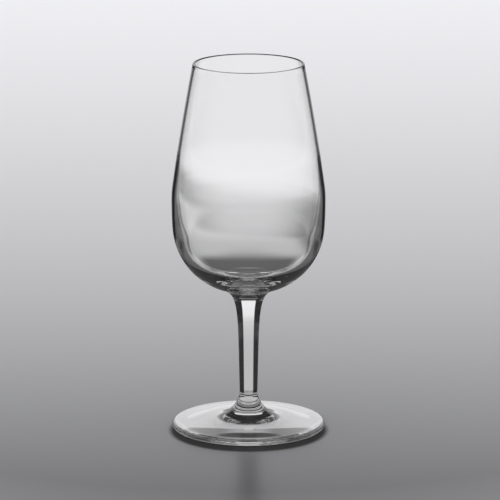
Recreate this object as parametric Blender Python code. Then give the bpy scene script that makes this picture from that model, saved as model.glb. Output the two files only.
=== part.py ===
"""Wine tasting glass: a tulip bowl, a solid stem and a round foot in clear glass.

The three pieces are formed apart and joined by two welds, one under the bowl and one over the foot.
Units are metres, +Z is up, the glass stands on Z = 0 and Z is the axis that every piece is turned about.
An outline is a list of (radius, height) points that starts and ends on that axis, top side first.
A station is a point of an outline with its lean: the angle from straight up or down, in degrees,
by which the wall moves away from the axis as the outline runs on downwards.
"""

import math

import bmesh
import bpy
from mathutils import Vector

# Turning
FACETS = 48                      # flats round each piece
ARC_STEPS = 7                    # points along each curved stretch
LINING_STEPS = 16                # points from the belly down to the floor inside the bowl
RIM_STEPS = 6                    # points round the rim
EDGE_STEPS = 8                   # points round the foot's edge
STEM_STEPS = 16                  # points down the stem
STEM_CROWDING = 1.6              # more than 1 sets those points closer towards the flare
MERGE_DISTANCE = 1e-6            # joins the points that the spin leaves on the axis
SHARP_ANGLE = math.radians(35)   # edges bent more than this stay crisp
STRAIGHT_TURN = 1e-6             # a curve that turns by less than this, in radians, is straight

# Welds
WELD_GAP = 0.0003                # clearance between the two faces of a weld

# Bowl, heights from its weld face
RIM_HEIGHT = 0.09915
RIM_RADIUS = 0.0231
RIM_LEAN = 10.8
UPPER_WALL = 0.00095             # from the rim to where the wall starts to thicken
THICKENING_RISE = 0.0206         # that place, above the belly
THICKENING_POWER = 1.2           # 1 thickens evenly on the way down, more thickens late
BELLY_WALL = 0.0020
SHOULDER_RISE = 0.0064           # above the belly
SHOULDER_INSET = 0.00044         # from the belly's radius
SHOULDER_LEAN = 8.0
BELLY_HEIGHT = 0.0415
BELLY_RADIUS = 0.03206
BAND_DROP = 0.0115               # the almost straight band under the belly
BAND_INSET = 0.00036
BAND_LEAN = -3.6
FLOOR_HEIGHT = 0.00735           # lowest point inside the bowl
FLOOR_LEAN = -83.0               # the floor falls a little towards its middle
FLOOR_FULLNESS = 1.43            # 1 is round, more is squarer at the turn into the floor
KNUCKLE_HEIGHT = 0.0072          # where the lower curve tightens
KNUCKLE_INSET = 0.01346
KNUCKLE_LEAN = -57.5
UNDERSIDE_HEIGHT = 0.00465       # where the bowl runs into its neck
UNDERSIDE_INSET = 0.01852
UNDERSIDE_LEAN = -72.0

# Stem, heights from its lower weld face
STEM_LENGTH = 0.0404
STEM_RADIUS = 0.00373            # at the foot
STEM_WIDENING = 0.00093          # even taper from foot to bowl
FLARE_RADIUS = 0.0020            # what the flare adds at the bowl
FLARE_LENGTH = 0.0045            # the flare fades by a factor of e over this length

# Foot, heights from the table
FOOT_HEIGHT = 0.01485            # table to weld face
FOOT_RADIUS = 0.0320
EDGE_THICKNESS = 0.0025
WAIST_DROP = 0.0032              # where the boss starts to spread, below the weld
WAIST_SPREAD = 0.0008            # and how far out from the weld
WAIST_LEAN = 25.0
SKIRT_DROP = 0.0064              # where the boss turns outwards, below the weld
SKIRT_SPREAD = 0.00285
SKIRT_LEAN = 42.0
BOSS_RADIUS = 0.0140             # where the boss runs out into the disc
DISC_SLOPE = 6.5                 # fall of the disc's upper side
REST_RING_WIDTH = 0.0040         # flat ring that stands on the table
HOLLOW_DEPTH = 0.0018            # of the underside, at the axis

# Glass
GLASS_COLOUR = (0.96, 0.97, 0.97, 1.0)
GLASS_ROUGHNESS = 0.02
GLASS_INDEX = 1.51


def downhill(lean):
    """Unit direction in (radius, height) of an outline that runs downwards with this lean."""
    angle = math.radians(lean)
    return Vector((math.sin(angle), -math.cos(angle)))


def inward(lean):
    """Unit direction in (radius, height) from a wall with this lean towards the axis, square to it."""
    way = downhill(lean)
    return Vector((way.y, -way.x))


def sweep(start, start_way, end, end_way, fullness=1.0, steps=ARC_STEPS):
    """Points of a round curve between two points, each with the direction of travel there."""
    turn = start_way.angle(end_way)
    round_share = math.tan(turn / 4) / math.sin(turn / 2) * 2 / 3 if turn > STRAIGHT_TURN else 1 / 3
    reach = (end - start).length * round_share * fullness
    first_pull = start + start_way * reach
    last_pull = end - end_way * reach
    points = []
    for step in range(steps + 1):
        t = step / steps
        s = 1 - t
        points.append(start * s ** 3 + first_pull * 3 * s * s * t + last_pull * 3 * s * t * t + end * t ** 3)
    return points


def through(stations):
    """Outline that runs down through stations of (point, lean), a round curve between each two."""
    outline = [stations[0][0]]
    for (start, start_lean), (end, end_lean) in zip(stations, stations[1:]):
        outline += sweep(start, downhill(start_lean), end, downhill(end_lean))[1:]
    return outline


def half_round(centre, radius, from_lean, to_lean, steps):
    """Points round a convex edge, from the lean where it starts to the lean where it ends."""
    points = []
    for step in range(steps + 1):
        lean = math.radians(from_lean + (to_lean - from_lean) * step / steps)
        points.append(centre + Vector((math.cos(lean), math.sin(lean))) * radius)
    return points


def stem_radius(height):
    """Radius of the stem: an even taper, and a flare that grows towards the bowl."""
    taper = STEM_RADIUS + STEM_WIDENING * height / STEM_LENGTH
    return taper + FLARE_RADIUS * math.exp((height - STEM_LENGTH) / FLARE_LENGTH)


def stem_lean(height):
    """Lean of the stem's side at a height, going down."""
    flare_slope = FLARE_RADIUS / FLARE_LENGTH * math.exp((height - STEM_LENGTH) / FLARE_LENGTH)
    return -math.degrees(math.atan(STEM_WIDENING / STEM_LENGTH + flare_slope))


def bowl_wall(height):
    """Wall of the bowl: even at the top, then thicker down to the belly."""
    share = max(1 - (height - BELLY_HEIGHT) / THICKENING_RISE, 0.0)
    return UPPER_WALL + (BELLY_WALL - UPPER_WALL) * share ** THICKENING_POWER


def bowl_lining(flank, next_point):
    """Inner side of the bowl: the flank's points moved inwards by the wall, then one curve to the floor."""
    lining = []
    for before, point, after in zip(flank[:1] + flank, flank, flank[1:] + [next_point]):
        way = (after - before).normalized()
        lining.append(point + Vector((way.y, -way.x)) * bowl_wall(point.y))
    floor = Vector((0.0, FLOOR_HEIGHT))
    way = (lining[-1] - lining[-2]).normalized()
    return lining + sweep(lining[-1], way, floor, downhill(FLOOR_LEAN), FLOOR_FULLNESS, LINING_STEPS)[1:]


def bowl_outline():
    """Bowl from the floor inside, up the lining to the rim and down the outside to the weld face."""
    rim_round = UPPER_WALL / 2
    rim_centre = Vector((RIM_RADIUS - rim_round, RIM_HEIGHT - rim_round))
    belly = (Vector((BELLY_RADIUS, BELLY_HEIGHT)), 0.0)
    flank = through((
        (rim_centre - inward(RIM_LEAN) * rim_round, RIM_LEAN),
        (Vector((BELLY_RADIUS - SHOULDER_INSET, BELLY_HEIGHT + SHOULDER_RISE)), SHOULDER_LEAN),
        belly,
    ))
    bottom = through((
        belly,
        (Vector((BELLY_RADIUS - BAND_INSET, BELLY_HEIGHT - BAND_DROP)), BAND_LEAN),
        (Vector((BELLY_RADIUS - KNUCKLE_INSET, KNUCKLE_HEIGHT)), KNUCKLE_LEAN),
        (Vector((BELLY_RADIUS - UNDERSIDE_INSET, UNDERSIDE_HEIGHT)), UNDERSIDE_LEAN),
        (Vector((stem_radius(STEM_LENGTH), 0.0)), stem_lean(STEM_LENGTH)),
    ))
    lining = bowl_lining(flank, bottom[1])
    rim = half_round(rim_centre, rim_round, 180 + RIM_LEAN, RIM_LEAN, RIM_STEPS)
    return lining[:0:-1] + rim + flank[1:] + bottom[1:] + [Vector((0.0, 0.0))]


def stem_outline():
    """Stem from its upper weld face down to its lower one."""
    outline = [Vector((0.0, STEM_LENGTH))]
    for step in range(STEM_STEPS + 1):
        height = STEM_LENGTH * (1 - (step / STEM_STEPS) ** STEM_CROWDING)
        outline.append(Vector((stem_radius(height), height)))
    return outline + [Vector((0.0, 0.0))]


def foot_outline():
    """Foot from its weld face down the boss and the disc, round the edge and under to the axis."""
    edge_radius = EDGE_THICKNESS / 2
    flat_radius = FOOT_RADIUS - edge_radius
    disc_rise = (flat_radius - BOSS_RADIUS) * math.tan(math.radians(DISC_SLOPE))
    weld = Vector((stem_radius(0.0), FOOT_HEIGHT))
    boss = through((
        (weld, stem_lean(0.0)),
        (weld + Vector((WAIST_SPREAD, -WAIST_DROP)), WAIST_LEAN),
        (weld + Vector((SKIRT_SPREAD, -SKIRT_DROP)), SKIRT_LEAN),
        (Vector((BOSS_RADIUS, EDGE_THICKNESS + disc_rise)), 90 - DISC_SLOPE),
    ))
    edge = half_round(Vector((flat_radius, edge_radius)), edge_radius, 90, -90, EDGE_STEPS)
    hollow_radius = flat_radius - REST_RING_WIDTH
    hollow_rim = Vector((hollow_radius, 0.0))
    hollow_top = Vector((0.0, HOLLOW_DEPTH))
    rim_lean = -90 - math.degrees(2 * math.atan(HOLLOW_DEPTH / hollow_radius))
    hollow = sweep(hollow_rim, downhill(rim_lean), hollow_top, downhill(-90))
    return [Vector((0.0, FOOT_HEIGHT))] + boss + edge + hollow


def clear_glass(name):
    """Clear colourless glass for one piece."""
    material = bpy.data.materials.new(name)
    material.use_nodes = True
    shader = material.node_tree.nodes["Principled BSDF"]
    shader.inputs["Base Color"].default_value = GLASS_COLOUR
    shader.inputs["Roughness"].default_value = GLASS_ROUGHNESS
    shader.inputs["Metallic"].default_value = 0.0
    shader.inputs["IOR"].default_value = GLASS_INDEX
    shader.inputs["Transmission Weight"].default_value = 1.0
    return material


def turned_piece(name, outline, height):
    """One closed solid, the outline spun about the axis and set down at its height."""
    shape = bmesh.new()
    points = [shape.verts.new((point.x, 0.0, point.y)) for point in outline]
    edges = [shape.edges.new(pair) for pair in zip(points, points[1:])]
    bmesh.ops.spin(shape, geom=points + edges, cent=(0, 0, 0), axis=(0, 0, 1),
                   angle=math.tau, steps=FACETS, use_merge=True)
    bmesh.ops.remove_doubles(shape, verts=shape.verts, dist=MERGE_DISTANCE)
    bmesh.ops.recalc_face_normals(shape, faces=shape.faces)
    mesh = bpy.data.meshes.new(name)
    shape.to_mesh(mesh)
    shape.free()
    mesh.materials.append(clear_glass(name + "_glass"))
    mesh.shade_smooth()
    mesh.set_sharp_from_angle(angle=SHARP_ANGLE)
    piece = bpy.data.objects.new(name, mesh)
    piece.location.z = height
    bpy.context.scene.collection.objects.link(piece)
    return piece


def main():
    """Clear the scene and stack the three pieces on the table."""
    for old in list(bpy.data.objects):
        bpy.data.objects.remove(old, do_unlink=True)
    stem_base = FOOT_HEIGHT + WELD_GAP
    bowl_base = stem_base + STEM_LENGTH + WELD_GAP
    turned_piece("foot", foot_outline(), 0.0)
    turned_piece("stem", stem_outline(), stem_base)
    turned_piece("bowl", bowl_outline(), bowl_base)


main()
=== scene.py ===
"""Clear looks for the wine tasting glass: three turned glass pieces on a graded table top in soft light."""

import math

import bmesh
import bpy
from bpy.props import FloatProperty, FloatVectorProperty, IntProperty, PointerProperty
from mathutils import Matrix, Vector


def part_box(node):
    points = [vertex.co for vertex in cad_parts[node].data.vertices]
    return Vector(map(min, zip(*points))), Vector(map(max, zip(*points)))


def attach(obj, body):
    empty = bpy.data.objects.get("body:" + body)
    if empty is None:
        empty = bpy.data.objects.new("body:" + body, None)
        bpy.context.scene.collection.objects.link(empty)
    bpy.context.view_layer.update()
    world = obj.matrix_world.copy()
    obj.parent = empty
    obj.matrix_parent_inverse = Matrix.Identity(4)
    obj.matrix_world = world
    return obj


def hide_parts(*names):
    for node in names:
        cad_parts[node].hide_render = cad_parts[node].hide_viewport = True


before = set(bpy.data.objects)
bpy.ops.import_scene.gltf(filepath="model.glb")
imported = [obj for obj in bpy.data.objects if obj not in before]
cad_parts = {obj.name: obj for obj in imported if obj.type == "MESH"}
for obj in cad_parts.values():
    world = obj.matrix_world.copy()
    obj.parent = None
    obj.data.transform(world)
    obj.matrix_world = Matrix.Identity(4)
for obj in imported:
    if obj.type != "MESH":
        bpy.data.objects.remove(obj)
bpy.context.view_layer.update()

bl_info = {
    "name": "Wine Tasting Glass",
    "version": (1, 0, 0),
    "blender": (4, 5, 0),
    "location": "3D View > Sidebar > Tasting Glass",
    "description": "Turns the bowl, stem and foot of a wine tasting glass and sets them in a small studio",
    "category": "Object",
}

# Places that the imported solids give
BOWL_LOW, BOWL_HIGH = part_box("bowl")
STEM_LOW, STEM_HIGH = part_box("stem")
FOOT_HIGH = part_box("foot")[1]
UPPER_WELD = (STEM_HIGH.z + BOWL_LOW.z) / 2
LOWER_WELD = (FOOT_HIGH.z + STEM_LOW.z) / 2

# How finely the pieces are turned
ARC_STEPS = 24
RIM_STEPS = 16
EDGE_STEPS = 24
STEM_STEPS = 64
STEM_CROWDING = 1.4
MERGE_DISTANCE = 1e-6
STRAIGHT_TURN = 1e-6
ROW_NUDGE = 1e-4
SHARP_ANGLE = math.radians(30)

# The photograph's frame, in pixels and in millimetres of film
PHOTO_PIXELS = 500
SENSOR_WIDTH = 36.0

# How near and how far the camera sees
CLIP_START = 0.01
CLIP_END = 30.0

# The table: half its side, and how far it stays clear of the foot
TABLE_HALF = 7.0
TABLE_DROP = 0.0002

# How often light may bend or bounce on its way through the glass
BOUNCES = 32
GLOSSY_BOUNCES = 16

# Where the other views look, in degrees round the glass from +Y towards -X
OTHER_VIEWS = (0.0, 45.0, 90.0)

# The noises on the glass: octaves, and the values where a rougher patch starts and is full
WAVE_DETAIL = 1.0
SMEAR_DETAIL = 3.0
SMEAR_RANGE = (0.55, 0.8)


def degrees(*angles):
    """Angles in degrees, as radians."""
    return tuple(math.radians(angle) for angle in angles)


def sines(*angles):
    """Sines of angles in degrees."""
    return tuple(math.sin(math.radians(angle)) for angle in angles)


# Light that meets the table came from the bowl if it was as high as this at this reach from the axis
BOWL_REACH = 0.04
BOWL_HEIGHTS = (0.050, 0.058)

# Soft edges of what the glass sees, by reach from the axis: where each starts and where it is done
SPREAD_REACH = (0.22, 0.36)
LANE_REACH = (0.12, 0.45)
CARD_NEAR = (0.06, 0.14)
CARD_FAR = (0.6, 0.9)
SIDE_REACH = (0.2, 0.35)
GLOW_REACH = (0.045, 0.06)
RING_REACH = (0.085, 0.105)
UNDER_RADII = (0.0325, 0.034)
LIP_RADII = (0.0265, 0.0285)

# Soft edges by distance from the middle of a bar or shade, or from the foot's own axes
BRIGHT_WIDTHS = (0.02, 0.16)
SHADE_WIDTHS = (0.02, 0.072)
ZONE_REACH = (0.009, 0.011)
ZONE_SIDES = (0.004, 0.012)
# (CONTACT_RADII: where the painted shadow under the foot fades, and where it ends)
CONTACT_RADII = (0.0315, 0.0345)

# Soft edges by angle from the way that the camera looks
CARD_START = degrees(20.5, 30)
CARD_END = degrees(80, 110)
SIDE_ANGLES = degrees(32, 45)
FRONT_ANGLES = degrees(75, 125)
GLOW_ANGLES = degrees(10, 20)
GLOW_END = degrees(29, 49)
RING_ANGLES = degrees(2, 8)
OPPOSITE_ANGLES = degrees(70, 110)

# Soft edge of the lane's shade to each side, by the sine of that angle
SHADE_SIDES = (0.03, 0.25)

# Soft edges by the sine of the angle above level
LANE_HEIGHTS = sines(18, 30)
MIRROR_HEIGHTS = sines(8, 14)
GLOSS_ANGLES = sines(21.5, 26)
UNDER_ANGLES = sines(25, 33)
STEEP_ANGLES = sines(42, 55)

# Soft edge of an oval shade, as a share of its size
CRESCENT_EDGE = (0.6, 1.2)


class BowlSizes(bpy.types.PropertyGroup):
    """Sizes of the bowl, with heights above its weld."""

    rim_radius: FloatProperty(name="Rim radius", description="Outer radius at the rim",
                              default=0.0231, unit="LENGTH")
    rim_lean: FloatProperty(name="Rim lean", description="Lean of the wall at the rim, in degrees",
                            default=10.8)
    upper_wall: FloatProperty(name="Upper wall", description="Wall from the rim down to where it thickens",
                              default=0.00095, unit="LENGTH")
    thickening_rise: FloatProperty(name="Thickening rise", description="Where it thickens, above the belly",
                                   default=0.0206, unit="LENGTH")
    belly_wall: FloatProperty(name="Belly wall", description="Wall at the belly", default=0.0020,
                              unit="LENGTH")
    thickening_power: FloatProperty(name="Thickening power",
                                    description="1 thickens evenly, more thickens late", default=1.2)
    shoulder_rise: FloatProperty(name="Shoulder rise", description="Shoulder above the belly",
                                 default=0.0064, unit="LENGTH")
    shoulder_inset: FloatProperty(name="Shoulder inset", description="Shoulder inside the belly's radius",
                                  default=0.00044, unit="LENGTH")
    shoulder_lean: FloatProperty(name="Shoulder lean", description="Lean there, in degrees", default=8.0)
    belly_height: FloatProperty(name="Belly height", description="Widest place above the weld",
                                default=0.04165, unit="LENGTH")
    belly_radius: FloatProperty(name="Belly radius", description="Largest outer radius",
                                default=BOWL_HIGH.x, unit="LENGTH")
    band_drop: FloatProperty(name="Band drop", description="End of the straight band below the belly",
                             default=0.0115, unit="LENGTH")
    band_inset: FloatProperty(name="Band inset", description="Band's end inside the belly's radius",
                              default=0.00036, unit="LENGTH")
    band_lean: FloatProperty(name="Band lean", description="Lean there, in degrees", default=-3.6)
    floor_height: FloatProperty(name="Floor height", description="Lowest point inside, above the weld",
                                default=0.0075, unit="LENGTH")
    floor_fullness: FloatProperty(name="Floor fullness", description="1 is round, more is squarer",
                                  default=1.43)
    floor_lean: FloatProperty(name="Floor lean", description="Lean at the middle of the floor, in degrees",
                              default=-83.0)
    knuckle_height: FloatProperty(name="Knuckle height", description="Where the lower curve tightens",
                                  default=0.00735, unit="LENGTH")
    knuckle_inset: FloatProperty(name="Knuckle inset", description="Knuckle inside the belly's radius",
                                 default=0.01346, unit="LENGTH")
    knuckle_lean: FloatProperty(name="Knuckle lean", description="Lean there, in degrees", default=-57.5)
    underside_height: FloatProperty(name="Underside height", description="Where the bowl runs into its neck",
                                    default=0.0048, unit="LENGTH")
    underside_inset: FloatProperty(name="Underside inset", description="That place inside the belly's radius",
                                   default=0.01852, unit="LENGTH")
    underside_lean: FloatProperty(name="Underside lean", description="Lean there, in degrees", default=-72.0)


class StemSizes(bpy.types.PropertyGroup):
    """Sizes of the stem."""

    radius: FloatProperty(name="Radius", description="Radius at the foot", default=0.00373, unit="LENGTH")
    widening: FloatProperty(name="Widening", description="Even taper from foot to bowl",
                            default=0.00093, unit="LENGTH")
    flare_radius: FloatProperty(name="Flare", description="What the flare adds at the bowl",
                                default=0.0020, unit="LENGTH")
    flare_length: FloatProperty(name="Flare length", description="Length over which the flare fades",
                                default=0.0045, unit="LENGTH")


class FootSizes(bpy.types.PropertyGroup):
    """Sizes of the foot."""

    radius: FloatProperty(name="Radius", description="Outer radius", default=FOOT_HIGH.x, unit="LENGTH")
    edge_thickness: FloatProperty(name="Edge", description="Thickness of the rounded edge",
                                  default=0.0025, unit="LENGTH")
    waist_radius: FloatProperty(name="Waist radius", description="Where the boss starts to spread",
                                default=0.00455, unit="LENGTH")
    waist_height: FloatProperty(name="Waist height", description="Height of that place", default=0.0116,
                                unit="LENGTH")
    waist_lean: FloatProperty(name="Waist lean", description="Lean there, in degrees", default=25.0)
    skirt_radius: FloatProperty(name="Skirt radius", description="Where the boss turns outwards",
                                default=0.0066, unit="LENGTH")
    skirt_height: FloatProperty(name="Skirt height", description="Height of that place", default=0.0084,
                                unit="LENGTH")
    skirt_lean: FloatProperty(name="Skirt lean", description="Lean there, in degrees", default=42.0)
    boss_radius: FloatProperty(name="Boss radius", description="Where the boss runs out into the disc",
                               default=0.0140, unit="LENGTH")
    disc_slope: FloatProperty(name="Disc slope", description="Fall of the disc, in degrees", default=6.5)
    rest_ring: FloatProperty(name="Rest ring", description="Width of the flat ring under the edge",
                             default=0.0040, unit="LENGTH")
    hollow_depth: FloatProperty(name="Hollow", description="Depth of the hollow underneath",
                                default=0.0018, unit="LENGTH")


class GlassFinish(bpy.types.PropertyGroup):
    """What the glass is like."""

    colour: FloatVectorProperty(name="Colour", description="Tint of the glass", subtype="COLOR", size=4,
                                default=(1.0, 1.0, 1.0, 1.0), min=0.0, max=1.0)
    index: FloatProperty(name="Index", description="Index of refraction", default=1.51)
    segments: IntProperty(name="Segments", description="Facets round each piece", default=192)
    wave_size: FloatProperty(name="Wave size", description="Spacing of the faint waves left by forming",
                             default=0.012, unit="LENGTH")
    wave_height: FloatProperty(name="Wave height", description="Height of those waves",
                               default=0.00001, unit="LENGTH")
    smear: FloatProperty(name="Smear", description="Largest roughness of the polished surface", default=0.012)
    smear_size: FloatProperty(name="Smear size", description="Spacing of the rougher patches", default=0.02,
                              unit="LENGTH")


class PhotoCamera(bpy.types.PropertyGroup):
    """Where the camera stands."""

    azimuth: FloatProperty(name="Azimuth", description="In degrees; 0 looks along +Y", default=225.0)
    distance: FloatProperty(name="Distance", description="From the axis, level", default=1.5, unit="LENGTH")
    height: FloatProperty(name="Height", description="Above the table", default=0.425, unit="LENGTH")
    pitch: FloatProperty(name="Pitch", description="Downwards, in degrees", default=13.1)
    aside: FloatProperty(name="Aside", description="To the right of the axis", default=0.0006, unit="LENGTH")
    focal_pixels: FloatProperty(name="Focal length", description="In pixels of the photo", default=3695.0)


class TableLook(bpy.types.PropertyGroup):
    """The table top and the soft light, as the camera sees them."""

    sky: FloatProperty(name="Sky", description="Brightness of the soft light on the table", default=1.0)
    tint: FloatVectorProperty(name="Tint", description="Colour cast of table and backdrop", subtype="COLOR",
                              size=3, default=(0.985, 0.985, 1.0), min=0.0, max=1.0)
    far_level: FloatProperty(name="Far level", description="Brightness of the backdrop", default=0.92)
    grade_end: FloatProperty(name="Grade end", description="Brightest that the table gets", default=0.97)
    grade_top: FloatProperty(name="Grade top", description="Level that it rises towards", default=1.134)
    grade_fall: FloatProperty(name="Grade fall", description="How far below that it is at the glass",
                              default=0.787)
    grade_length: FloatProperty(name="Grade length", description="Length over which it rises", default=0.82,
                                unit="LENGTH")
    # The dim part round the glass is a painted pool of shade on the table
    shade_pool_radius: FloatProperty(name="Pool radius", description="How far the dim part reaches round the glass",
                               default=0.19, unit="LENGTH")
    sheen: FloatProperty(name="Sheen", description="Share of the table's gloss", default=0.2)
    sheen_roughness: FloatProperty(name="Sheen roughness", description="Blur of that gloss", default=0.3)
    # The foot's shade on the table is a painted shadow, which also darkens the gloss as a painted dark
    # reflection of the foot
    contact_shift: FloatProperty(name="Contact shift", description="How far the foot's shade comes forwards",
                                 default=0.006, unit="LENGTH")
    contact_depth: FloatProperty(name="Contact depth", description="Share of light it takes", default=0.75)


class GlassBackdrop(bpy.types.PropertyGroup):
    """What the glass has behind and beside it: pale lanes, dark flags between them, and pale cards."""

    flag_level: FloatProperty(name="Flag level", description="Level of the dark flags", default=0.02)
    bowl_flag_level: FloatProperty(name="Bowl flag level", description="Level of those that the bowl sees",
                                   default=0.05)
    lane_width: FloatProperty(name="Lane width", description="Half width of the pale lane behind the glass",
                              default=math.radians(20.5), subtype="ANGLE")
    lane_edge: FloatProperty(name="Lane edge", description="Half width of its soft edge",
                             default=math.radians(2.0), subtype="ANGLE")
    lane_spread: FloatProperty(name="Lane spread", description="How much wider the bowl sees it low down",
                               default=math.radians(2.0), subtype="ANGLE")
    lane_near: FloatProperty(name="Lane near", description="Level of the lane by the glass", default=0.52)
    lane_far: FloatProperty(name="Lane far", description="Level of the lane far off", default=0.885)
    bright_level: FloatProperty(name="Bright level", description="What a bright bar across the lane adds",
                                default=0.06)
    bright_reach: FloatProperty(name="Bright reach", description="Where that bar lies, from the axis",
                                default=0.46, unit="LENGTH")
    shade_depth: FloatProperty(name="Shade depth", description="Share that a shade across the lane takes",
                               default=0.58)
    shade_reach: FloatProperty(name="Shade reach", description="Where that shade lies, from the axis",
                               default=0.315, unit="LENGTH")
    shade_slant: FloatProperty(name="Shade slant", description="How much nearer it lies to the right",
                               default=0.17, unit="LENGTH")
    shade_middle: FloatProperty(name="Shade middle", description="Its share behind the axis", default=0.25)
    card_level: FloatProperty(name="Card level", description="Level of the pale cards that the bowl sees",
                              default=0.5)
    side_level: FloatProperty(name="Side level", description="Level beside the lane, in reflections",
                              default=0.6)
    front_level: FloatProperty(name="Front level", description="Level on the near side, in reflections",
                               default=0.20)
    table_share: FloatProperty(name="Table share", description="Share of the lane in reflections low down",
                               default=0.4)
    world_share: FloatProperty(name="World share", description="Share of it in those higher up", default=0.9)


class TableSeen(bpy.types.PropertyGroup):
    """The table round and under the foot, as the glass sees it."""

    # Behind the glass the table is painted dark, as the glass's own shadow
    behind_shadow_level: FloatProperty(name="Top level", description="Level behind the glass", default=0.135)
    glow_level: FloatProperty(name="Glow level", description="Level beside it", default=0.7)
    opposite_level: FloatProperty(name="Opposite level", description="Level on the near side", default=0.42)
    under_level: FloatProperty(name="Under level", description="Level under the foot, at a low angle",
                               default=0.68)
    steep_level: FloatProperty(name="Steep level", description="Level there, from above", default=0.5)
    lip_level: FloatProperty(name="Lip level", description="Least level under the foot's edge", default=0.55)
    # The zone and the crescent are painted shade on the table under the foot's front
    zone_depth: FloatProperty(name="Zone depth", description="Shade under the foot's front", default=0.62)
    zone_middle: FloatProperty(name="Zone middle", description="Its share in front of the axis", default=0.5)
    crescent_shade_depth: FloatProperty(name="Crescent depth", description="Depth of an oval in it", default=0.9)
    crescent_place: FloatProperty(name="Crescent place", description="That oval's middle, from the axis",
                                  default=0.021, unit="LENGTH")
    crescent_length: FloatProperty(name="Crescent length", description="Its half length towards the camera",
                                   default=0.005, unit="LENGTH")
    crescent_width: FloatProperty(name="Crescent width", description="Its half width", default=0.017,
                                  unit="LENGTH")


class Level:
    """A socket's value: sums on it add Math nodes to its tree."""

    def __init__(self, tree, socket):
        self.tree = tree
        self.socket = socket

    def math(self, operation, *terms):
        node = self.tree.nodes.new("ShaderNodeMath")
        node.operation = operation
        for place, term in zip(node.inputs, terms):
            connect(self.tree, place, term)
        return Level(self.tree, node.outputs[0])

    def __add__(self, other):
        return self.math("ADD", self, other)

    __radd__ = __add__

    def __sub__(self, other):
        return self.math("SUBTRACT", self, other)

    def __rsub__(self, other):
        return self.math("SUBTRACT", other, self)

    def __mul__(self, other):
        return self.math("MULTIPLY", self, other)

    __rmul__ = __mul__

    def __truediv__(self, other):
        return self.math("DIVIDE", self, other)

    def most(self, other):
        return self.math("MAXIMUM", self, other)

    def least(self, other):
        return self.math("MINIMUM", self, other)

    def function(self, operation):
        return self.math(operation, self)


def connect(tree, place, term):
    """Links a socket or a Level to an input, or sets the input's own value."""
    if isinstance(term, Level):
        tree.links.new(term.socket, place)
    elif isinstance(term, bpy.types.NodeSocket):
        tree.links.new(term, place)
    else:
        place.default_value = term


class Wiring:
    """Adds nodes to one tree."""

    def __init__(self, tree):
        self.tree = tree

    def node(self, kind, settings=None, sockets=None):
        node = self.tree.nodes.new(kind)
        for name, value in (settings or {}).items():
            setattr(node, name, value)
        for name, term in (sockets or {}).items():
            connect(self.tree, node.inputs[name], term)
        return node

    def level(self, socket):
        return Level(self.tree, socket)

    def dot(self, vector, direction):
        node = self.node("ShaderNodeVectorMath", {"operation": "DOT_PRODUCT"}, {0: vector, 1: direction})
        return self.level(node.outputs["Value"])

    def ease(self, value, low, high):
        """0 below low and 1 above high, with a smooth step between."""
        node = self.node("ShaderNodeMapRange", {"interpolation_type": "SMOOTHSTEP"},
                         {"Value": value, "From Min": low, "From Max": high})
        return self.level(node.outputs["Result"])

    def between(self, value, start, end):
        """1 between two soft edges, each given by where it begins and where it is done, and 0 outside."""
        return self.ease(value, *start) * (1 - self.ease(value, *end))


def blend(low, high, share):
    """Low where the share is 0, high where it is 1."""
    return low + (high - low) * share


def downhill(lean):
    """Unit direction in (radius, height) of an outline that runs downwards with this lean in degrees."""
    angle = math.radians(lean)
    return Vector((math.sin(angle), -math.cos(angle)))


def inward(lean):
    """Unit direction in (radius, height) from a wall with this lean towards the axis."""
    way = downhill(lean)
    return Vector((way.y, -way.x))


def sweep(start, start_way, end, end_way, fullness=1.0):
    """Points of a round curve between two points, each with the direction of travel there."""
    turn = start_way.angle(end_way)
    round_share = math.tan(turn / 4) / math.sin(turn / 2) * 2 / 3 if turn > STRAIGHT_TURN else 1 / 3
    reach = (end - start).length * round_share * fullness
    first_pull = start + start_way * reach
    last_pull = end - end_way * reach
    points = []
    for step in range(ARC_STEPS + 1):
        t = step / ARC_STEPS
        s = 1 - t
        points.append(start * s ** 3 + first_pull * 3 * s * s * t + last_pull * 3 * s * t * t + end * t ** 3)
    return points


def through(stations):
    """Outline that runs down through stations of (point, lean), a round curve between each two."""
    outline = [stations[0][0]]
    for (start, start_lean), (end, end_lean) in zip(stations, stations[1:]):
        outline += sweep(start, downhill(start_lean), end, downhill(end_lean))[1:]
    return outline


def half_round(centre, radius, from_angle, to_angle, steps):
    """Points round a convex edge between two angles in degrees."""
    points = []
    for step in range(steps + 1):
        angle = math.radians(from_angle + (to_angle - from_angle) * step / steps)
        points.append(centre + Vector((math.cos(angle), math.sin(angle))) * radius)
    return points


def stem_radius(sizes, height):
    """Radius of the stem at a height: an even taper, and a flare that grows towards the bowl."""
    length = UPPER_WELD - LOWER_WELD
    taper = sizes.radius + sizes.widening * (height - LOWER_WELD) / length
    return taper + sizes.flare_radius * math.exp((height - UPPER_WELD) / sizes.flare_length)


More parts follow.
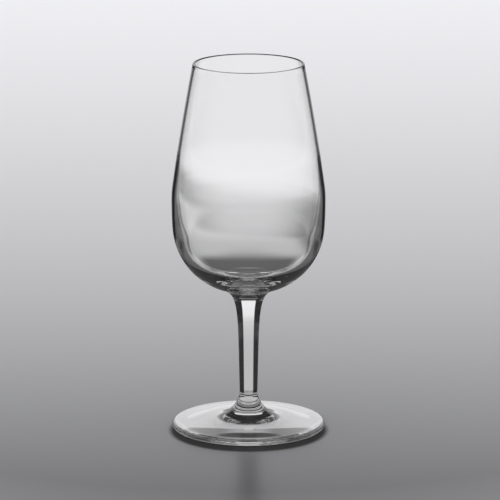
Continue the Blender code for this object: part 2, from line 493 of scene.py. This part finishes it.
def bowl_outline(sizes, stem):
    """Bowl from the floor inside, up to the rim and down the outside to the weld."""
    base = UPPER_WELD
    rim_round = sizes.upper_wall / 2
    rim_centre = Vector((sizes.rim_radius - rim_round, BOWL_HIGH.z - rim_round))
    belly = Vector((sizes.belly_radius, base + sizes.belly_height))
    shoulder = belly + Vector((-sizes.shoulder_inset, sizes.shoulder_rise))
    band = belly + Vector((-sizes.band_inset, -sizes.band_drop))
    knuckle = Vector((belly.x - sizes.knuckle_inset, base + sizes.knuckle_height))
    underside = Vector((belly.x - sizes.underside_inset, base + sizes.underside_height))
    flank = through((
        (rim_centre - inward(sizes.rim_lean) * rim_round, sizes.rim_lean),
        (shoulder, sizes.shoulder_lean),
        (belly, 0.0),
    ))
    slope = stem.widening / (UPPER_WELD - LOWER_WELD) + stem.flare_radius / stem.flare_length
    bottom = through((
        (belly, 0.0),
        (band, sizes.band_lean),
        (knuckle, sizes.knuckle_lean),
        (underside, sizes.underside_lean),
        (Vector((stem_radius(stem, base), base)), -math.degrees(math.atan(slope))),
    ))
    lining = []
    for before, point, after in zip([flank[0]] + flank, flank, flank[1:] + [bottom[1]]):
        way = (after - before).normalized()
        share = max(1 - (point.y - belly.y) / sizes.thickening_rise, 0.0)
        wall = sizes.upper_wall + (sizes.belly_wall - sizes.upper_wall) * share ** sizes.thickening_power
        lining.append(point + Vector((way.y, -way.x)) * wall)
    floor = Vector((0.0, base + sizes.floor_height))
    lining_way = (lining[-1] - lining[-2]).normalized()
    lining += sweep(lining[-1], lining_way, floor, downhill(sizes.floor_lean), sizes.floor_fullness)[1:]
    rim = half_round(rim_centre, rim_round, 180 + sizes.rim_lean, sizes.rim_lean, RIM_STEPS)
    return lining[:0:-1] + rim + flank[1:] + bottom[1:] + [Vector((0.0, base))]


def stem_outline(sizes):
    """Stem from its upper weld down to its lower one."""
    outline = [Vector((0.0, UPPER_WELD))]
    for step in range(STEM_STEPS + 1):
        height = UPPER_WELD + (LOWER_WELD - UPPER_WELD) * (step / STEM_STEPS) ** STEM_CROWDING
        outline.append(Vector((stem_radius(sizes, height), height)))
    return outline + [Vector((0.0, LOWER_WELD))]


def foot_outline(sizes, stem):
    """Foot from its weld down the boss and the disc, round the edge and under to the axis."""
    edge_radius = sizes.edge_thickness / 2
    flat_radius = sizes.radius - edge_radius
    disc_rise = (flat_radius - sizes.boss_radius) * math.tan(math.radians(sizes.disc_slope))
    weld = Vector((stem_radius(stem, LOWER_WELD), LOWER_WELD))
    boss_end = Vector((sizes.boss_radius, sizes.edge_thickness + disc_rise))
    boss = through((
        (weld, math.degrees(math.atan(-stem.widening / (UPPER_WELD - LOWER_WELD)))),
        (Vector((sizes.waist_radius, sizes.waist_height)), sizes.waist_lean),
        (Vector((sizes.skirt_radius, sizes.skirt_height)), sizes.skirt_lean),
        (boss_end, 90 - sizes.disc_slope),
    ))
    edge = half_round(Vector((flat_radius, edge_radius)), edge_radius, 90, -90, EDGE_STEPS)
    hollow_radius = flat_radius - sizes.rest_ring
    rim_lean = -90 - math.degrees(2 * math.atan(sizes.hollow_depth / hollow_radius))
    hollow = sweep(Vector((hollow_radius, 0.0)), downhill(rim_lean),
                   Vector((0.0, sizes.hollow_depth)), downhill(-90))
    return [Vector((0.0, LOWER_WELD))] + boss + edge + hollow


def lathe_tree():
    """Geometry Nodes tree that turns an outline, given as a line of points, about the Z axis."""
    tree = bpy.data.node_groups.new("Lathe", "GeometryNodeTree")
    tree.interface.new_socket("Outline", in_out="INPUT", socket_type="NodeSocketGeometry")
    for name, kind in (("Segments", "NodeSocketInt"), ("Upper Weld", "NodeSocketFloat"),
                       ("Lower Weld", "NodeSocketFloat"), ("Glass", "NodeSocketMaterial"),
                       ("Weld", "NodeSocketMaterial")):
        tree.interface.new_socket(name, in_out="INPUT", socket_type=kind)
    tree.interface.new_socket("Piece", in_out="OUTPUT", socket_type="NodeSocketGeometry")
    wires = Wiring(tree)
    given = wires.node("NodeGroupInput").outputs
    count = wires.node("GeometryNodeAttributeDomainSize", {"component": "MESH"},
                       {"Geometry": given["Outline"]})
    columns = wires.level(given["Segments"]) + 1
    grid = wires.node("GeometryNodeMeshGrid", {}, {"Vertices X": count.outputs["Point Count"],
                                                   "Vertices Y": columns})
    index = wires.level(wires.node("GeometryNodeInputIndex").outputs[0])
    row = (index / columns + ROW_NUDGE).function("FLOOR")
    angle = (index - row * columns) * math.tau / wires.level(given["Segments"])
    place = wires.node("GeometryNodeInputPosition").outputs[0]
    sample = wires.node("GeometryNodeSampleIndex", {"data_type": "FLOAT_VECTOR", "domain": "POINT"},
                        {"Geometry": given["Outline"], "Value": place, "Index": row})
    parts = wires.node("ShaderNodeSeparateXYZ", {}, {0: sample.outputs["Value"]}).outputs
    radius = wires.level(parts["X"])
    turned = wires.node("ShaderNodeCombineXYZ", {}, {"X": radius * angle.function("COSINE"),
                                                     "Y": radius * angle.function("SINE"), "Z": parts["Z"]})
    shape = wires.node("GeometryNodeSetPosition", {}, {"Geometry": grid.outputs["Mesh"],
                                                       "Position": turned.outputs[0]})
    shape = wires.node("GeometryNodeMergeByDistance", {}, {"Geometry": shape.outputs[0],
                                                           "Distance": MERGE_DISTANCE})
    shape = wires.node("GeometryNodeSetShadeSmooth", {}, {"Geometry": shape.outputs[0], "Shade Smooth": True})
    height = wires.level(wires.node("ShaderNodeSeparateXYZ", {}, {0: place}).outputs["Z"])
    near_upper = (height - wires.level(given["Upper Weld"])).function("ABSOLUTE")
    near_lower = (height - wires.level(given["Lower Weld"])).function("ABSOLUTE")
    on_weld = 1 - wires.ease(near_upper.least(near_lower), MERGE_DISTANCE, 2 * MERGE_DISTANCE)
    shape = wires.node("GeometryNodeRealizeInstances", {}, {"Geometry": shape.outputs[0]})
    shape = wires.node("GeometryNodeSetMaterial", {}, {"Geometry": shape.outputs[0],
                                                       "Material": given["Glass"]})
    shape = wires.node("GeometryNodeSetMaterial", {}, {"Geometry": shape.outputs[0], "Selection": on_weld,
                                                       "Material": given["Weld"]})
    wires.node("NodeGroupOutput", {}, {"Piece": shape.outputs[0]})
    return tree


def glass_material(finish):
    """Clear glass: faint waves from forming and a little uneven polish."""
    material = bpy.data.materials.new("polished_glass")
    material.use_nodes = True
    wires = Wiring(material.node_tree)
    shader = material.node_tree.nodes["Principled BSDF"]
    shader.inputs["Base Color"].default_value = finish.colour
    shader.inputs["IOR"].default_value = finish.index
    shader.inputs["Transmission Weight"].default_value = 1.0
    place = wires.node("ShaderNodeTexCoord").outputs["Object"]
    polish = wires.node("ShaderNodeTexNoise", {}, {"Vector": place, "Scale": 1 / finish.smear_size,
                                                   "Detail": SMEAR_DETAIL})
    wave = wires.node("ShaderNodeTexNoise", {}, {"Vector": place, "Scale": 1 / finish.wave_size,
                                                 "Detail": WAVE_DETAIL})
    bump = wires.node("ShaderNodeBump", {}, {"Distance": finish.wave_height, "Strength": 1.0,
                                             "Height": wave.outputs[0]})
    uneven = wires.ease(wires.level(polish.outputs[0]), *SMEAR_RANGE) * finish.smear
    connect(material.node_tree, shader.inputs["Roughness"], uneven)
    connect(material.node_tree, shader.inputs["Normal"], bump.outputs[0])
    return material


def weld_material():
    """The inside of a weld, where glass runs on into glass and light passes straight through."""
    material = bpy.data.materials.new("fused_weld")
    material.use_nodes = True
    shader = material.node_tree.nodes["Principled BSDF"]
    shader.inputs["Base Color"].default_value = (1.0, 1.0, 1.0, 1.0)
    shader.inputs["Roughness"].default_value = 0.0
    shader.inputs["IOR"].default_value = 1.0
    shader.inputs["Transmission Weight"].default_value = 1.0
    return material


def made_once(collection, name, maker, *given):
    """The named material or tree, made by its maker the first time."""
    return collection.get(name) or maker(*given)


def turned_piece(name, outline, node):
    """A closed glass piece turned from its outline, riding on the glass and standing for its solid."""
    finish = bpy.context.scene.glass_finish
    line = bpy.data.meshes.new(name + "_outline")
    line.from_pydata([(p.x, 0.0, p.y) for p in outline], [(i, i + 1) for i in range(len(outline) - 1)], [])
    piece = bpy.data.objects.new(name, line)
    bpy.context.scene.collection.objects.link(piece)
    tree = made_once(bpy.data.node_groups, "Lathe", lathe_tree)
    lathe = piece.modifiers.new("Lathe", "NODES")
    lathe.node_group = tree
    values = {
        "Segments": finish.segments,
        "Upper Weld": UPPER_WELD,
        "Lower Weld": LOWER_WELD,
        "Glass": made_once(bpy.data.materials, "polished_glass", glass_material, finish),
        "Weld": made_once(bpy.data.materials, "fused_weld", weld_material),
    }
    for socket in tree.interface.items_tree:
        if socket.name in values:
            lathe[socket.identifier] = values[socket.name]
    bpy.context.view_layer.update()
    seen = piece.evaluated_get(bpy.context.evaluated_depsgraph_get())
    mesh = bpy.data.meshes.new_from_object(seen)
    piece.modifiers.remove(lathe)
    piece.data = mesh
    bpy.data.meshes.remove(line)
    mesh.name = name
    mesh.materials.pop(index=0)
    shape = bmesh.new()
    shape.from_mesh(mesh)
    bmesh.ops.recalc_face_normals(shape, faces=shape.faces)
    loose = [edge for edge in shape.edges if len(edge.link_faces) != 2]
    volume = shape.calc_volume(signed=True)
    shape.to_mesh(mesh)
    shape.free()
    if loose or volume <= 0:
        raise RuntimeError(f"{name} is not one closed body that faces outwards")
    mesh.shade_smooth()
    mesh.set_sharp_from_angle(angle=SHARP_ANGLE)
    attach(piece, "root")
    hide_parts(node)
    return piece


class TASTING_OT_bowl(bpy.types.Operator):
    """Turn the tulip bowl"""

    bl_idname = "tasting.bowl"
    bl_label = "Bowl"

    def execute(self, context):
        scene = context.scene
        turned_piece("tulip_bowl", bowl_outline(scene.bowl_sizes, scene.stem_sizes), "bowl")
        return {"FINISHED"}


class TASTING_OT_stem(bpy.types.Operator):
    """Turn the flared stem"""

    bl_idname = "tasting.stem"
    bl_label = "Stem"

    def execute(self, context):
        turned_piece("flared_stem", stem_outline(context.scene.stem_sizes), "stem")
        return {"FINISHED"}


class TASTING_OT_foot(bpy.types.Operator):
    """Turn the round foot"""

    bl_idname = "tasting.foot"
    bl_label = "Foot"

    def execute(self, context):
        scene = context.scene
        turned_piece("round_foot", foot_outline(scene.foot_sizes, scene.stem_sizes), "foot")
        return {"FINISHED"}


def heading(azimuth):
    """Level unit vector that a camera at this azimuth looks along."""
    angle = math.radians(azimuth)
    return Vector((-math.sin(angle), math.cos(angle), 0.0))


def rightwards(azimuth):
    """Level unit vector to the right of a camera at this azimuth."""
    ahead = heading(azimuth)
    return Vector((ahead.y, -ahead.x, 0.0))


def angle_off(wires, bearing, azimuth):
    """Angle between a level bearing and an azimuth."""
    return wires.dot(bearing, heading(azimuth)).least(1.0).function("ARCCOSINE")


def level_bearing(wires, direction):
    """Length of a direction's level part, and that part as a unit vector."""
    level_way = wires.node("ShaderNodeVectorMath", {"operation": "MULTIPLY"},
                           {0: direction, 1: (1.0, 1.0, 0.0)})
    length = wires.node("ShaderNodeVectorMath", {"operation": "LENGTH"}, {0: level_way.outputs[0]})
    bearing = wires.node("ShaderNodeVectorMath", {"operation": "NORMALIZE"}, {0: level_way.outputs[0]})
    return wires.level(length.outputs["Value"]), bearing.outputs[0]


def glass_light(wires, path):
    """1 for light that comes off the glass or through it."""
    return wires.level(path["Is Glossy Ray"]).most(wires.level(path["Is Transmission Ray"]))


def tinted(wires, look, level):
    """The studio's colour at a level."""
    colour = wires.node("ShaderNodeVectorMath", {"operation": "SCALE"}, {0: look.tint, "Scale": level})
    return colour.outputs[0]


def lanes(wires, backdrop, bearing, off, mirrored, spread, share):
    """The lane behind the glass, 1 in it and 0 beside it, and the level on the near side.

    Each view has its lane. Mirrored light sees a share of the photograph's own lane alone.
    """
    nearest = off
    for azimuth in OTHER_VIEWS:
        nearest = nearest.least(angle_off(wires, bearing, azimuth))
    nearest = blend(nearest, off, mirrored) - spread * (1 - mirrored)
    width = backdrop.lane_width
    lane = 1 - wires.ease(nearest, width - backdrop.lane_edge, width + backdrop.lane_edge)
    lane = lane * (1 - (1 - share) * mirrored)
    front = backdrop.front_level * mirrored * wires.ease(off, *FRONT_ANGLES)
    return lane, front


class TableSight:
    """Where light meets the table, and how it got there."""

    def __init__(self, wires, camera):
        path = wires.node("ShaderNodeLightPath").outputs
        self.place = wires.node("ShaderNodeTexCoord").outputs["Object"]
        self.reach, self.bearing = level_bearing(wires, self.place)
        self.off = angle_off(wires, self.bearing, camera.azimuth)
        self.steepness = 1 - wires.level(wires.node("ShaderNodeLayerWeight").outputs["Facing"])
        slope = self.steepness / (1 - self.steepness * self.steepness).function("SQRT")
        self.from_bowl = wires.ease(slope * (self.reach - BOWL_REACH), *BOWL_HEIGHTS)
        self.from_glass = glass_light(wires, path)
        self.mirrored = wires.level(path["Glossy Depth"]).least(1.0)
        self.direct = 1 - self.mirrored


def table_top(wires, camera, look, sight):
    """The table for the camera: painted dark round the glass and towards the camera as a pool of shade, pale
    far off, softly glossy, with a painted shadow and dark reflection of the foot.
    """
    ahead = heading(camera.azimuth)
    # Painted pool of shade: the table's colour is darker round the glass and towards the camera, paler far
    # off
    along = wires.dot(sight.place, ahead).most(sight.reach - look.shade_pool_radius)
    grade = look.grade_top - look.grade_fall * (along / -look.grade_length).function("EXPONENT")
    matt_level = (grade.least(look.grade_end) - look.sheen * look.far_level) / (1 - look.sheen)
    # Painted shadow of the foot, moved towards the camera; it darkens the matt colour and the gloss, so it
    # also stands for the foot's dark reflection
    shadow_spot = wires.node("ShaderNodeVectorMath", {"operation": "DISTANCE"},
                      {0: sight.place, 1: -look.contact_shift * ahead})
    contact = look.contact_depth * (1 - wires.ease(shadow_spot.outputs["Value"], *CONTACT_RADII))
    matt = wires.node("ShaderNodeBsdfDiffuse", {}, {"Color": tinted(wires, look, matt_level * (1 - contact))})
    gloss = wires.node("ShaderNodeBsdfGlossy", {}, {"Color": tinted(wires, look, 1 - contact),
                                                    "Roughness": look.sheen_roughness})
    top = wires.node("ShaderNodeMixShader", {}, {0: look.sheen, 1: matt.outputs[0], 2: gloss.outputs[0]})
    return top.outputs[0]


def backdrop_on_table(wires, camera, backdrop, sight):
    """Level of the backdrop painted into the table as a reflection: the lane with its bar and shade, the
    cards, sides and front.
    """
    spread = backdrop.lane_spread * sight.from_bowl * (1 - wires.ease(sight.reach, *SPREAD_REACH))
    lane, front = lanes(wires, backdrop, sight.bearing, sight.off, sight.mirrored, spread,
                        backdrop.table_share)
    level = blend(backdrop.lane_near, backdrop.lane_far, wires.ease(sight.reach, *LANE_REACH))
    from_bright = (sight.reach - backdrop.bright_reach).function("ABSOLUTE")
    bright = backdrop.bright_level * (1 - wires.ease(from_bright, *BRIGHT_WIDTHS))
    level = level + bright * sight.from_bowl
    across = wires.dot(sight.bearing, rightwards(camera.azimuth))
    from_shade = (sight.reach + backdrop.shade_slant * across - backdrop.shade_reach).function("ABSOLUTE")
    shade = backdrop.shade_depth * (1 - wires.ease(from_shade, *SHADE_WIDTHS))
    at_sides = wires.ease(across.function("ABSOLUTE"), *SHADE_SIDES)
    shade = shade * blend(backdrop.shade_middle, 1.0, at_sides)
    level = level * (1 - shade * sight.from_bowl)
    card = wires.between(sight.off, CARD_START, CARD_END)
    card = card * wires.between(sight.reach, CARD_NEAR, CARD_FAR)
    card = backdrop.card_level * card * sight.from_bowl * sight.direct
    side = wires.ease(sight.off, *SIDE_ANGLES) * wires.ease(sight.reach, *SIDE_REACH)
    side = backdrop.side_level * side * sight.mirrored
    return (level * lane).most(card).most(front).most(side)


def table_beside(wires, seen, sight):
    """Level of the table round the foot: a painted shadow of the glass behind it, lighter beside it and on
    the near side.
    """
    clear = wires.ease(sight.reach, *GLOW_REACH) * sight.direct
    ring = wires.ease(sight.off, *RING_ANGLES) * (1 - wires.ease(sight.reach, *RING_REACH))
    beside = wires.ease(sight.off, *GLOW_ANGLES).most(ring) * (1 - wires.ease(sight.off, *GLOW_END))
    level = blend(seen.behind_shadow_level, seen.glow_level, beside * clear)
    return level.most(seen.opposite_level * clear * wires.ease(sight.off, *OPPOSITE_ANGLES))


def table_under_foot(wires, camera, seen, sight):
    """Level of the table under the foot: pale at a low angle and from above, with painted shade and a darker
    painted oval of shade towards the camera.
    """
    level = seen.under_level * (1 - wires.ease(sight.steepness, *UNDER_ANGLES))
    level = level + seen.steep_level * wires.ease(sight.steepness, *STEEP_ANGLES)
    toward = wires.dot(sight.place, -heading(camera.azimuth))
    aside = wires.dot(sight.place, rightwards(camera.azimuth)).function("ABSOLUTE")
    # Painted shade under the foot's front, with a darker painted oval of shade in it
    zone = seen.zone_depth * wires.ease(toward, *ZONE_REACH)
    zone = zone * blend(seen.zone_middle, 1.0, wires.ease(aside, *ZONE_SIDES))
    oval_long = (toward - seen.crescent_place) / seen.crescent_length
    oval_wide = aside / seen.crescent_width
    oval = (oval_long * oval_long + oval_wide * oval_wide).function("SQRT")
    crescent = seen.crescent_shade_depth * (1 - wires.ease(oval, *CRESCENT_EDGE))
    lip = seen.lip_level * wires.ease(sight.reach, *LIP_RADII)
    return (level * (1 - zone.most(crescent))).most(lip)


def table_material(camera, look, backdrop, seen):
    """Graded table for the camera; light from the glass sees the backdrop in it, or the table's own top."""
    material = bpy.data.materials.new("graded_table")
    material.use_nodes = True
    tree = material.node_tree
    tree.nodes.clear()
    wires = Wiring(tree)
    sight = TableSight(wires, camera)
    beside = table_beside(wires, seen, sight)
    mirror = backdrop_on_table(wires, camera, backdrop, sight)
    # At a low angle the glowing table shows a painted reflection of the backdrop
    level = blend(mirror, beside, wires.ease(sight.steepness, *GLOSS_ANGLES))
    outside = wires.ease(sight.reach, *UNDER_RADII)
    level = blend(table_under_foot(wires, camera, seen, sight), level, outside)
    level = level.most(blend(backdrop.flag_level, backdrop.bowl_flag_level, sight.from_bowl))
    # For light from the glass the table glows at these painted levels instead of being lit
    glow_for_glass = wires.node("ShaderNodeEmission", {}, {"Color": tinted(wires, look, level)})
    for_camera = table_top(wires, camera, look, sight)
    both = wires.node("ShaderNodeMixShader", {}, {0: sight.from_glass, 1: for_camera,
                                                  2: glow_for_glass.outputs[0]})
    wires.node("ShaderNodeOutputMaterial", {}, {"Surface": both.outputs[0]})
    return material


def studio_world(camera, look, backdrop):
    """Even soft light all round, pale for the camera, with the backdrop and its dark flags for the glass."""
    world = bpy.data.worlds.new("soft_light")
    world.use_nodes = True
    tree = world.node_tree
    tree.nodes.clear()
    wires = Wiring(tree)
    direction = wires.node("ShaderNodeTexCoord").outputs["Generated"]
    bearing = level_bearing(wires, direction)[1]
    rise = wires.level(wires.node("ShaderNodeSeparateXYZ", {}, {0: direction}).outputs["Z"])
    path = wires.node("ShaderNodeLightPath").outputs
    glossy = wires.level(path["Glossy Depth"]).least(1.0)
    mirrored = glossy * wires.level(path["Transmission Depth"]).least(1.0)
    off = angle_off(wires, bearing, camera.azimuth)
    lane, front = lanes(wires, backdrop, bearing, off, mirrored, 0.0, backdrop.world_share)
    lane = lane.most(glossy - mirrored)
    low = 1 - blend(wires.ease(rise, *LANE_HEIGHTS), wires.ease(rise, *MIRROR_HEIGHTS), mirrored)
    flagged = (look.far_level * low * lane).most(front * low).most(backdrop.flag_level)
    open_level = blend(look.sky, look.far_level, wires.level(path["Is Camera Ray"]))
    level = blend(open_level, flagged, glass_light(wires, path))
    light = wires.node("ShaderNodeBackground", {}, {"Color": tinted(wires, look, level)})
    wires.node("ShaderNodeOutputWorld", {}, {"Surface": light.outputs[0]})
    return world


def studio_camera(camera):
    """Camera at the photograph's height, distance and angle."""
    lens = bpy.data.cameras.new("photo_camera")
    lens.sensor_width = SENSOR_WIDTH
    lens.lens = camera.focal_pixels * SENSOR_WIDTH / PHOTO_PIXELS
    lens.clip_start = CLIP_START
    lens.clip_end = CLIP_END
    placed = bpy.data.objects.new("photo_camera", lens)
    ahead = heading(camera.azimuth)
    placed.location = rightwards(camera.azimuth) * camera.aside - ahead * camera.distance
    placed.location.z = camera.height
    pitch = math.radians(camera.pitch)
    gaze = ahead * math.cos(pitch) - Vector((0.0, 0.0, math.sin(pitch)))
    placed.rotation_euler = gaze.to_track_quat("-Z", "Y").to_euler()
    return placed


class TASTING_OT_studio(bpy.types.Operator):
    """Set up the table, the light and the camera"""

    bl_idname = "tasting.studio"
    bl_label = "Studio"

    def execute(self, context):
        scene = context.scene
        look = scene.table_look
        backdrop = scene.glass_backdrop
        corners = [(-1, -1), (1, -1), (1, 1), (-1, 1)]
        mesh = bpy.data.meshes.new("table")
        mesh.from_pydata([(x * TABLE_HALF, y * TABLE_HALF, -TABLE_DROP) for x, y in corners],
                         [], [range(len(corners))])
        mesh.materials.append(table_material(scene.photo_camera, look, backdrop, scene.table_seen))
        table = bpy.data.objects.new("table", mesh)
        scene.collection.objects.link(table)
        scene.world = studio_world(scene.photo_camera, look, backdrop)
        scene.camera = studio_camera(scene.photo_camera)
        scene.collection.objects.link(scene.camera)
        scene.view_settings.view_transform = "Standard"
        scene.cycles.max_bounces = BOUNCES
        scene.cycles.transmission_bounces = BOUNCES
        scene.cycles.glossy_bounces = GLOSSY_BOUNCES
        return {"FINISHED"}


class TASTING_PT_panel(bpy.types.Panel):
    """Sidebar panel with the glass's pieces and sizes"""

    bl_idname = "TASTING_PT_panel"
    bl_label = "Wine Tasting Glass"
    bl_space_type = "VIEW_3D"
    bl_region_type = "UI"
    bl_category = "Tasting Glass"

    def draw(self, context):
        for operator in OPERATORS:
            self.layout.operator(operator.bl_idname)
        for group in GROUPS:
            settings = getattr(context.scene, group)
            box = self.layout.box()
            for name in settings.__annotations__:
                box.prop(settings, name)


GROUPS = {
    "bowl_sizes": BowlSizes,
    "stem_sizes": StemSizes,
    "foot_sizes": FootSizes,
    "glass_finish": GlassFinish,
    "photo_camera": PhotoCamera,
    "table_look": TableLook,
    "glass_backdrop": GlassBackdrop,
    "table_seen": TableSeen,
}
OPERATORS = (TASTING_OT_bowl, TASTING_OT_stem, TASTING_OT_foot, TASTING_OT_studio)
CLASSES = tuple(GROUPS.values()) + OPERATORS + (TASTING_PT_panel,)


def register():
    for made in CLASSES:
        bpy.utils.register_class(made)
    for name, group in GROUPS.items():
        setattr(bpy.types.Scene, name, PointerProperty(type=group))


def unregister():
    for name in GROUPS:
        delattr(bpy.types.Scene, name)
    for made in reversed(CLASSES):
        bpy.utils.unregister_class(made)


def main():
    register()
    bpy.ops.tasting.bowl()
    bpy.ops.tasting.stem()
    bpy.ops.tasting.foot()
    bpy.ops.tasting.studio()


if __name__ == "__main__":
    main()
